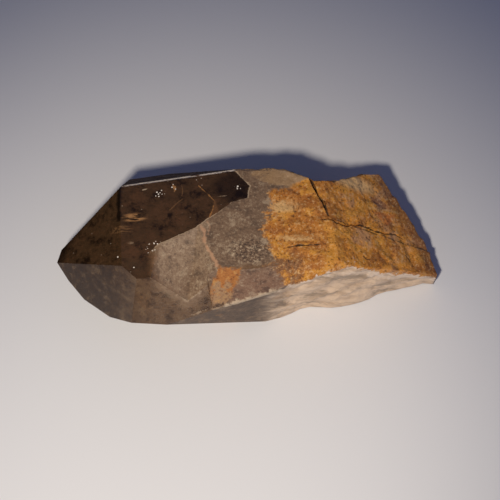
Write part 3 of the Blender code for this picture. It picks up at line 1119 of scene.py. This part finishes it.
@dataclass
class Crystal:
    """The crystal: the plain solid with a worn top edge, a crumbly broken root and a scab on its far side."""

    name: str = "smoky_crystal"
    finish: QuartzFinish = field(default_factory=QuartzFinish)
    weld: float = 1e-6
    broken_from: float = 3.3 * MM
    far_from: float = -3.0 * MM
    crumb_edges: tuple[float, ...] = (0.9 * MM, 0.62 * MM, 0.45 * MM)
    under_height: float = 1.0 * MM
    under_edge: float = 1.1 * MM
    wear: float = 1.6 * MM
    # The share of that wear at places along the X axis, which are in millimetres.
    worn_shares: Path = ((-27.0, 1.0), (-22.0, 0.75), (-16.5, 0.32), (-14.5, 0.16), (3.0, 0.25))
    etched: tuple[Place, ...] = ((0.25, -0.42, 0.87), (0.6, -0.14, 0.78))
    etched_above: float = 15.0 * MM
    # A face counts as looking a certain way if the cosine of its angle to that way is above one of these.
    top_cosine: float = 0.97
    far_cosine: float = 0.7
    smooth_cosine: float = 0.5
    etched_cosine: float = 0.995
    lumps: tuple[Lumps, ...] = (
        Lumps("crumb", 1.5 * MM, 4, 0.5 * MM, Region.BROKEN),
        Lumps("grit", 0.5 * MM, 2, 0.15 * MM, Region.BROKEN),
        Lumps("scab", 1.1 * MM, 3, 0.9 * MM, Region.FAR),
    )

    def build(self) -> bpy.types.Object:
        """Copy the plain solid, wear, refine and roughen it, and dress it.

        Returns:
            The finished crystal.
        """
        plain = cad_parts[NODE]
        obj = bpy.data.objects.new(self.name, plain.data.copy())
        bpy.context.scene.collection.objects.link(obj)
        self.close_skin(obj)
        self.wear_edge(obj)
        self.refine(obj)
        self.roughen(obj)
        self.shade(obj)
        obj.data.materials.clear()
        obj.data.materials.append(self.finish.material())
        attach(obj, BODY)
        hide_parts(NODE)
        return obj

    def close_skin(self, obj: bpy.types.Object) -> None:
        """Weld the loose triangles into one closed skin.

        Args:
            obj: The crystal.
        """
        only(obj)
        bpy.ops.object.mode_set(mode="EDIT")
        bpy.ops.mesh.select_all(action="SELECT")
        bpy.ops.mesh.remove_doubles(threshold=self.weld)
        # Welding leaves a sliver of a face hanging by one side; it goes, so that the skin is closed.
        bpy.ops.mesh.select_all(action="DESELECT")
        bpy.ops.mesh.select_mode(type="EDGE")
        bpy.ops.mesh.select_non_manifold(
            extend=False, use_wire=False, use_boundary=True, use_multi_face=False, use_non_contiguous=False,
            use_verts=False,
        )
        bpy.ops.mesh.select_mode(use_extend=False, use_expand=True, type="FACE")
        bpy.ops.mesh.delete(type="FACE")
        bpy.ops.object.mode_set(mode="OBJECT")

    def wear_edge(self, obj: bpy.types.Object) -> None:
        """Wear down the edge between the top and the far faces, more near the tip and at the frosted end.

        Args:
            obj: The crystal.
        """
        mesh = obj.data
        sides: dict[tuple[int, int], list[Vector]] = {}
        for face in mesh.polygons:
            for key in face.edge_keys:
                sides.setdefault(key, []).append(face.normal)
        shares = mesh.attributes.new("bevel_weight_edge", "FLOAT", "EDGE")
        places, values = zip(*self.worn_shares)
        for edge in mesh.edges:
            x = sum(mesh.vertices[i].co.x for i in edge.vertices) / 2
            normals = sides[edge.key]
            top, far = max(n.z for n in normals), max(n.y for n in normals)
            if x < self.broken_from and top > self.top_cosine and far > self.far_cosine:
                shares.data[edge.index].value = float(np.interp(x / MM, places, values))
        apply_modifier(
            obj, "BEVEL", width=self.wear, segments=1, limit_method="WEIGHT", use_clamp_overlap=False
        )

    def refine(self, obj: bpy.types.Object) -> None:
        """Split the long edges of the broken part and of the far faces beside it, less finely at the foot.

        Args:
            obj: The crystal.
        """
        for longest in self.crumb_edges:
            mesh = obj.data
            chosen = set()
            for face in mesh.polygons:
                far = face.center.x > self.far_from and face.normal.y > self.far_cosine
                if far or face.center.x > self.broken_from:
                    chosen.update(face.edge_keys)
            only(obj)
            bpy.ops.object.mode_set(mode="EDIT")
            bpy.ops.mesh.select_all(action="DESELECT")
            bpy.ops.object.mode_set(mode="OBJECT")
            verts = mesh.vertices
            for edge in mesh.edges:
                a, b = (verts[i].co for i in edge.vertices)
                limit = max(longest, self.under_edge) if max(a.z, b.z) < self.under_height else longest
                edge.select = edge.key in chosen and (a - b).length > limit
            bpy.ops.object.mode_set(mode="EDIT")
            bpy.ops.mesh.select_mode(type="EDGE")
            bpy.ops.mesh.subdivide(number_cuts=1)
            bpy.ops.mesh.select_all(action="SELECT")
            bpy.ops.mesh.quads_convert_to_tris()
            bpy.ops.object.mode_set(mode="OBJECT")
        log.info("refined to %d faces", len(obj.data.polygons))

    def share(self, region: Region, place: Vector, normal: Vector) -> float:
        """Say how strongly a point is roughened with a region; the face it rests on stays flat.

        Args:
            region: The region.
            place: The point, in millimetres.
            normal: The skin's direction there.

        Returns:
            A share from 0 to 1.
        """
        if region is Region.BROKEN:
            # The end of the root is broken cleaner than the rest.
            end = 1.0 - 0.7 * smooth_step(place.x, 26.0, 32.0)
            return smooth_step(place.x, 3.5, 6.0) * smooth_step(place.z, 0.05, 1.2) * end
        back = smooth_step(normal.y, 0.5, 0.75) * smooth_step(place.x, -3.0, 0.0)
        return back * smooth_step(place.z, 0.3, 3.0) * smooth_step(place.x, 12.0, 8.0)

    def roughen(self, obj: bpy.types.Object) -> None:
        """Press crumbs, grit and a scab into the skin.

        Args:
            obj: The crystal.
        """
        for region in Region:
            group = obj.vertex_groups.new(name=region.value)
            for vertex in obj.data.vertices:
                group.add([vertex.index], self.share(region, vertex.co / MM, vertex.normal), "REPLACE")
        for lumps in self.lumps:
            noise = bpy.data.textures.new(lumps.name, "CLOUDS")
            noise.noise_scale, noise.noise_depth = lumps.width, lumps.finer
            apply_modifier(
                obj, "DISPLACE", texture=noise, strength=lumps.height, mid_level=0.5,
                vertex_group=lumps.region.value, texture_coords="LOCAL",
            )

    def shade(self, obj: bpy.types.Object) -> None:
        """Keep the growth faces flat; shade the broken part, its far side and the two etched facets smooth.

        Args:
            obj: The crystal.
        """
        ways = [Vector(way).normalized() for way in self.etched]
        for face in obj.data.polygons:
            likeness = max(face.normal.dot(way) for way in ways)
            etched = face.center.z > self.etched_above and likeness > self.etched_cosine
            far = face.center.x > self.far_from and face.normal.y > self.smooth_cosine
            face.use_smooth = face.center.x > self.broken_from or etched or far


@dataclass
class Studio:
    """The pale sheet it lies on, a warm lamp on the viewer's side, a dim blue room, and the camera."""

    sheet_colour: str = "#e4e2e1"
    sheet_rough: float = 0.9
    sheet_size: float = 3.0
    gap: float = 0.02 * MM
    lamp_place: Place = (-0.031, -0.126, 0.212)
    lamp_aim: Place = (-0.016, -0.042, 0.0)
    lamp_size: float = 0.018
    lamp_beam: float = 56.0
    lamp_power: float = 1.92
    lamp_colour: str = "#fff7ea"
    # The room's light is given as it is, in linear light.
    room_low: Colour = (0.1, 0.14, 0.3, 1.0)
    room_high: Colour = (0.05, 0.055, 0.1, 1.0)
    room_left: Colour = (0.03, 0.025, 0.025, 1.0)
    low_to_high: Point = (0.3, 0.9)
    left_way: Place = (-0.88, 0.34, 0.33)
    towards_left: Point = (0.6, 0.9)
    camera_place: Place = (0.09 * MM, -106.73 * MM, 248.28 * MM)
    camera_aim: Place = (0.09 * MM, -0.98 * MM, 10.76 * MM)
    lens: float = 93.6
    sensor: float = 36.0

    def build(self) -> None:
        """Make the sheet, the lamp, the room and the camera."""
        self.lay_sheet()
        self.hang_lamp()
        self.fill_room()
        self.point_camera()

    def lay_sheet(self) -> None:
        """Lay the matt sheet just under the crystal."""
        bpy.ops.object.select_all(action="DESELECT")
        bpy.ops.mesh.primitive_plane_add(size=self.sheet_size, location=(0.0, 0.0, -self.gap))
        sheet = bpy.context.object
        sheet.name = "sheet"
        bpy.ops.object.transform_apply(location=True, rotation=True, scale=True)
        made = bpy.data.materials.new("matt card")
        made.use_nodes = True
        tree = made.node_tree
        tree.nodes.clear()
        named = {"Base Color": linear(self.sheet_colour), "Roughness": self.sheet_rough}
        add_node(tree, "OutputMaterial", add_node(tree, "BsdfPrincipled", named=named))
        sheet.data.materials.append(made)

    def aim(self, obj: bpy.types.Object, place: Place, target: Place) -> None:
        """Put a lamp or a camera in its place and turn it towards its target.

        Args:
            obj: The lamp's or camera's object.
            place: Where it is.
            target: What it looks at.
        """
        obj.location = place
        obj.rotation_mode = "QUATERNION"
        obj.rotation_quaternion = (Vector(target) - Vector(place)).to_track_quat("-Z", "Y")
        bpy.context.scene.collection.objects.link(obj)

    def hang_lamp(self) -> None:
        """Hang the lamp, a small one, so that the shadow is crisp."""
        lamp = bpy.data.lights.new("lamp", "SPOT")
        lamp.spot_size, lamp.spot_blend = math.radians(self.lamp_beam), 1.0
        lamp.shadow_soft_size = self.lamp_size / 2
        lamp.energy, lamp.color = self.lamp_power, linear(self.lamp_colour)[:3]
        holder = bpy.data.objects.new("lamp", lamp)
        holder.visible_camera = False
        self.aim(holder, self.lamp_place, self.lamp_aim)

    def fill_room(self) -> None:
        """Fill the room with a dim light, blue low down and darkest at the far left."""
        world = bpy.data.worlds.new("room")
        world.use_nodes = True
        tree = world.node_tree
        tree.nodes.clear()
        way = add_node(tree, "TexCoord").outputs["Generated"]
        height = add_node(tree, "SeparateXYZ", way).outputs["Z"]
        share = add_node(tree, "MapRange", height, *self.low_to_high, 0.0, 1.0)
        light = add_node(tree, "Mix", share, self.room_low, self.room_high, data_type="RGBA")
        left = add_node(tree, "VectorMath", way, self.left_way, operation="DOT_PRODUCT").outputs["Value"]
        share = add_node(tree, "MapRange", left, *self.towards_left, 0.0, 1.0)
        light = add_node(tree, "Mix", share, light, self.room_left, data_type="RGBA")
        add_node(tree, "OutputWorld", add_node(tree, "Background", light, 1.0))
        bpy.context.scene.world = world

    def point_camera(self) -> None:
        """Point the camera at the crystal's middle."""
        data = bpy.data.cameras.new("camera")
        data.lens, data.sensor_width = self.lens, self.sensor
        data.clip_start, data.clip_end = 0.01, 20.0
        camera = bpy.data.objects.new("camera", data)
        self.aim(camera, self.camera_place, self.camera_aim)
        bpy.context.scene.camera = camera


def main() -> None:
    """Build the studio and the crystal, and report each piece."""
    logging.basicConfig(level=logging.INFO, format="%(message)s")
    bpy.context.scene.view_settings.view_transform = "Standard"
    Studio().build()
    crystal = Crystal().build()
    log.info("%s: %d faces", crystal.name, len(crystal.data.polygons))


if __name__ == "__main__":
    main()
